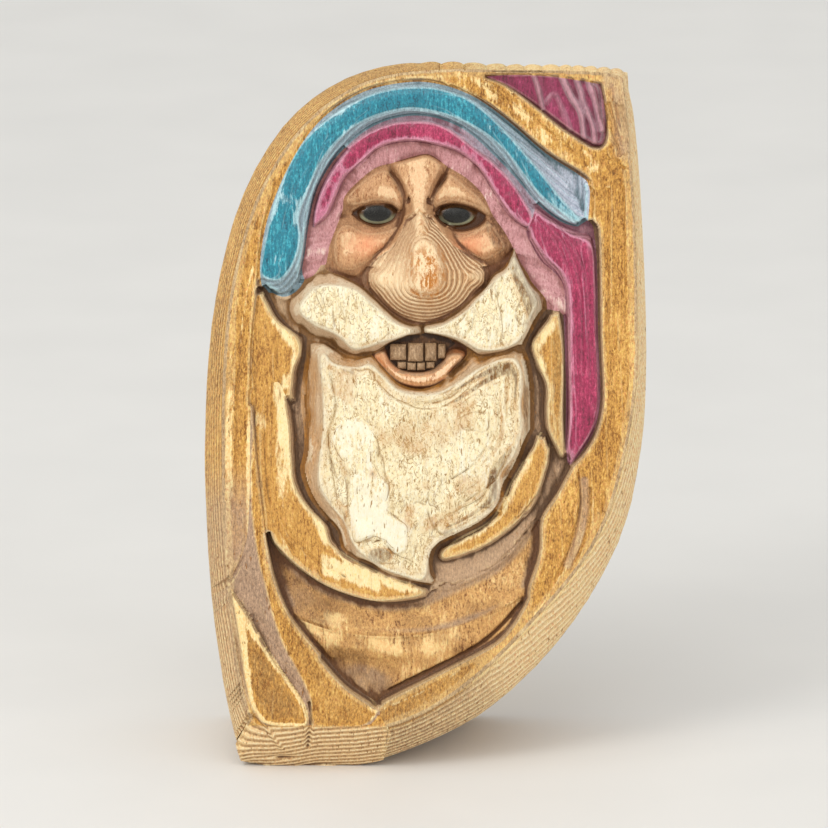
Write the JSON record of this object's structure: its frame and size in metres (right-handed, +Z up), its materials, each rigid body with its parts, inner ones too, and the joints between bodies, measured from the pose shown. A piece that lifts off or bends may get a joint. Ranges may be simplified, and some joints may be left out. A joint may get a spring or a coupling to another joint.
{
  "type": "tomte gnome figurine",
  "caption": "Standing carved gnome figurine: a leaning wood block with a bearded, big-nosed face and painted hat in deep relief inside a plain border.",
  "frame": {"origin": "centre of the bounding box at the level of the flat foot", "axes": "+Z up, the figure's long way; +Y from the carved face to the flat back, the shortest way; +X to the viewer's right"},
  "size_m": [0.1108, 0.0504, 0.1754],
  "materials": {
    "wood_light": "matt stain over brushed grain",
    "wood_brown": "matt stain over brushed grain",
    "wood_dark": "matt stain over brushed grain",
    "beard_cream": "matt stain over brushed grain",
    "skin": "matt stain over brushed grain",
    "skin_shaded": "matt stain over brushed grain",
    "hat_blue": "glossy stain over brushed grain",
    "hat_red_violet": "glossy stain over brushed grain",
    "lining_pink": "matt stain over brushed grain",
    "lip_pink": "matt stain over brushed grain",
    "tooth_grey": "matt stain over brushed grain",
    "eye_dark": "matt stain over brushed grain"
  },
  "bodies": {
    "root": {"back_block": "wood_light", "border_left": "wood_brown", "border_corner": "wood_brown", "border_right": "wood_brown", "hood_edge": "wood_light", "foot_ledge": "wood_light", "corner_leaf": "wood_brown", "left_fold": "wood_brown", "robe_fold_upper": "wood_dark", "robe_fold_lower": "wood_dark", "left_hair": "wood_brown", "outer_beard_left": "wood_light", "right_hair": "wood_light", "outer_beard_right": "wood_light", "beard": "beard_cream", "moustache_left": "beard_cream", "moustache_right": "beard_cream", "lower_lip": "lip_pink", "upper_teeth": "tooth_grey", "lower_teeth": "tooth_grey", "mouth_floor": "wood_dark", "nose": "skin", "forehead": "skin", "brow_left": "skin", "brow_right": "skin", "eye_left": "eye_dark", "eye_right": "eye_dark", "cheek_left": "skin_shaded", "cheek_right": "skin_shaded", "hood_lining": "lining_pink", "hat_band": "hat_blue", "hat_brim": "hat_red_violet", "hat_tail": "hat_red_violet", "corner_panel": "hat_red_violet"}
  },
  "joints": []
}
